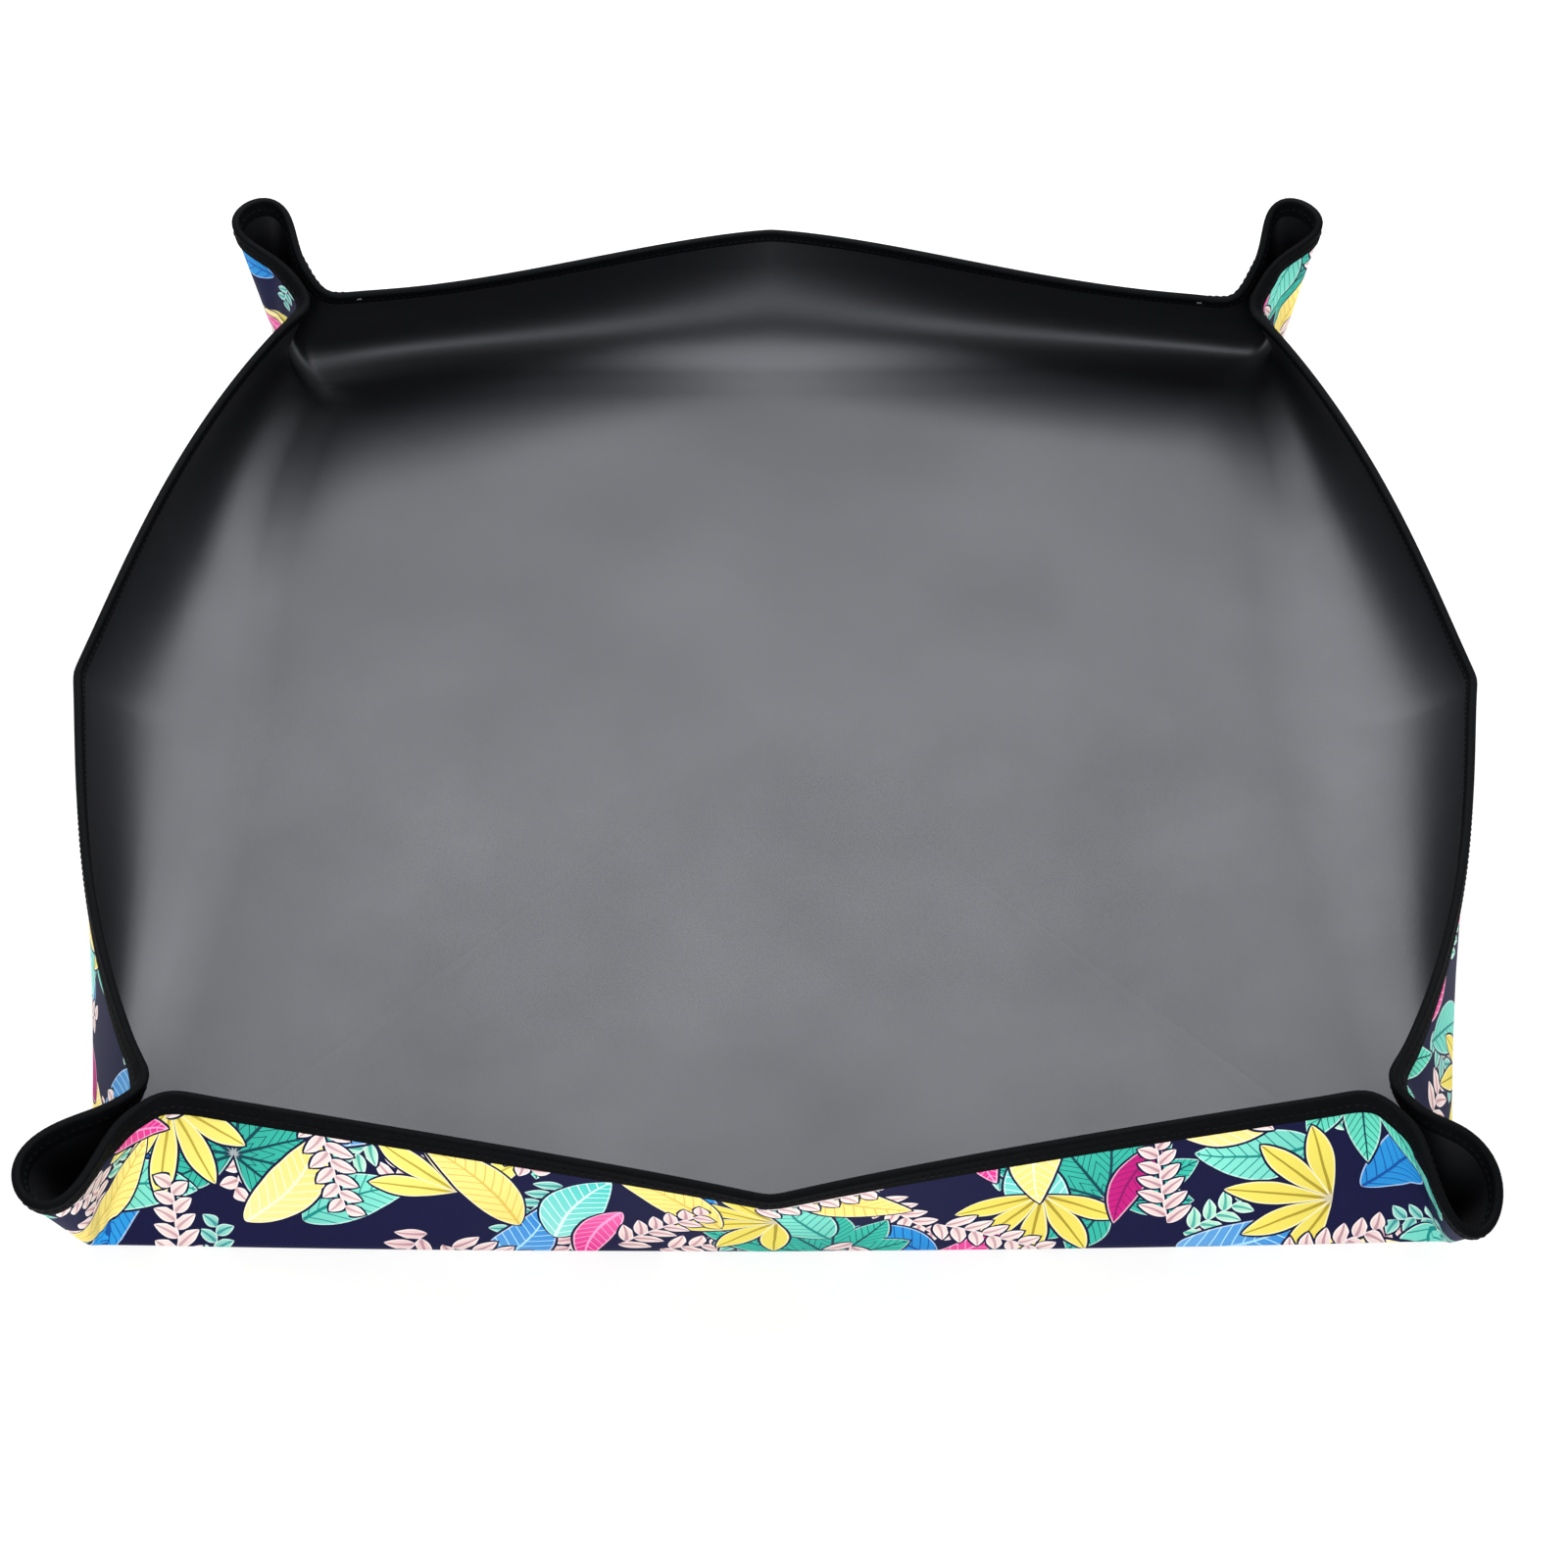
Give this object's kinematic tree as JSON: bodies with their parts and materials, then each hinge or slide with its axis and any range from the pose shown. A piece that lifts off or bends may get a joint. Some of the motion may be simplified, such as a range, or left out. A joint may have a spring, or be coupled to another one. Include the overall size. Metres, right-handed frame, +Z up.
{
  "type": "repotting mat",
  "caption": "Square waterproof cloth mat with corners pinched up by hidden press studs into a shallow tray with drop-shaped ears.",
  "frame": {"origin": "centre of the square floor, on the underside that rests on the table", "axes": "+Z up, +X to the right and -Y towards the front, which is the side nearest the camera in the picture"},
  "size_m": [0.6353, 0.5814, 0.1072],
  "materials": {
    "coated_cloth": "black tightly woven cloth with a satin waterproof coating",
    "printed_cloth": null,
    "binding_tape": "black bias tape, matte, lockstitched along its inner edge",
    "blackened_steel": "stamped steel press stud, black oxide, satin"
  },
  "bodies": {
    "root": {"coated_liner": "coated_cloth", "printed_cover": "printed_cloth", "edge_binding": "binding_tape", "stud_front_right": "blackened_steel", "socket_front_right": "blackened_steel", "stud_backing_front_right": "blackened_steel", "socket_backing_front_right": "blackened_steel", "stud_back_right": "blackened_steel", "socket_back_right": "blackened_steel", "stud_backing_back_right": "blackened_steel", "socket_backing_back_right": "blackened_steel", "stud_back_left": "blackened_steel", "socket_back_left": "blackened_steel", "stud_backing_back_left": "blackened_steel", "socket_backing_back_left": "blackened_steel", "stud_front_left": "blackened_steel", "socket_front_left": "blackened_steel", "stud_backing_front_left": "blackened_steel", "socket_backing_front_left": "blackened_steel"}
  },
  "joints": []
}
